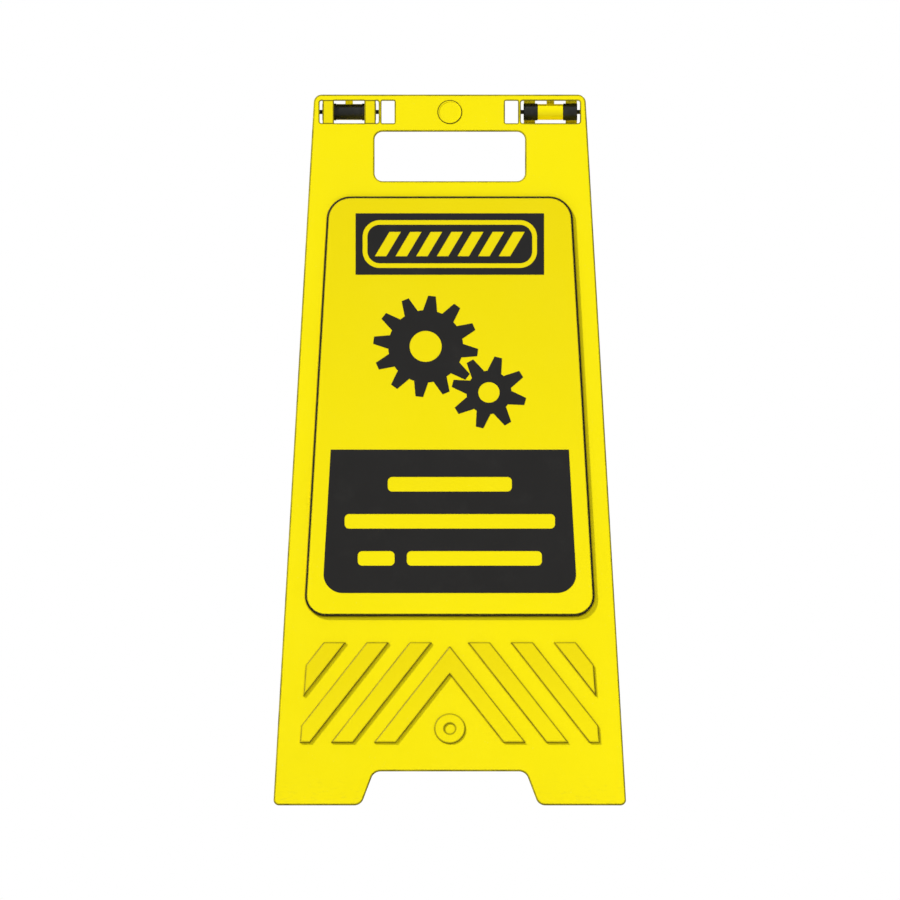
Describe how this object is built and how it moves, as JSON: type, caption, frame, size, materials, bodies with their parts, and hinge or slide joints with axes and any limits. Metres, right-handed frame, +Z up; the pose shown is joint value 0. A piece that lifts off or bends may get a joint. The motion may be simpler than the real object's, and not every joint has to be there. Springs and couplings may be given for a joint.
{
  "type": "folding floor sign",
  "caption": "Free-standing folding floor sign: moulded leaves hinged at the top on pins, with a raised sign panel, a carrying opening and feet.",
  "frame": {"origin": "on the floor, midway between the feet of the open sign", "axes": "+Z up, +X along the hinge line to the right of someone facing the front leaf, -Y out of the front leaf"},
  "size_m": [0.2994, 0.3358, 0.604],
  "materials": {
    "leaf_plastic": "satin moulded polypropylene",
    "badge_plastic": "satin disc",
    "pin_plastic": "matt black",
    "printed_film": "satin black vinyl"
  },
  "bodies": {
    "front_half": {"front_leaf": "leaf_plastic", "right_hinge_pin": "pin_plastic", "front_header_decal": "printed_film", "front_pictogram_decal": "printed_film", "front_message_decal": "printed_film", "front_badge": "badge_plastic"},
    "rear_half": {"rear_leaf": "leaf_plastic", "left_hinge_pin": "pin_plastic", "rear_header_decal": "printed_film", "rear_pictogram_decal": "printed_film", "rear_message_decal": "printed_film", "rear_badge": "badge_plastic"}
  },
  "joints": [
    {"name": "fold", "type": "hinge", "parent": "front_half", "child": "rear_half", "pos_m": [0, 0, 0.58924], "axis": [-1, 0, 0], "range_deg": [0, 30]}
  ]
}
